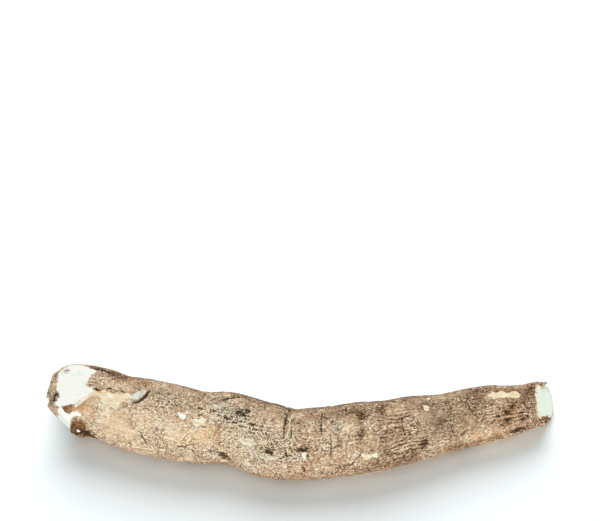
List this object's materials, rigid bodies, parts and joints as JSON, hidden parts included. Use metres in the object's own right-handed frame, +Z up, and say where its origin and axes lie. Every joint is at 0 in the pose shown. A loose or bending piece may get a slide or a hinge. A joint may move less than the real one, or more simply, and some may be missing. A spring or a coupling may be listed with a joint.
{
  "type": "cassava root",
  "caption": "Whole unpeeled cassava root lying on its side, gently bent, with a sliced stem end and a straight-cut tail.",
  "frame": {"origin": "on the resting plane, under the middle of the bounding box", "axes": "+X along the root from the stem end to the tail, +Z up, +Y towards the hollow side of the bend"},
  "size_m": [0.3562, 0.0828, 0.0494],
  "materials": {
    "bark": "matte, rough and papery, with white flesh at the cut ends"
  },
  "bodies": {
    "root": {"cassava_root": "bark"}
  },
  "joints": []
}
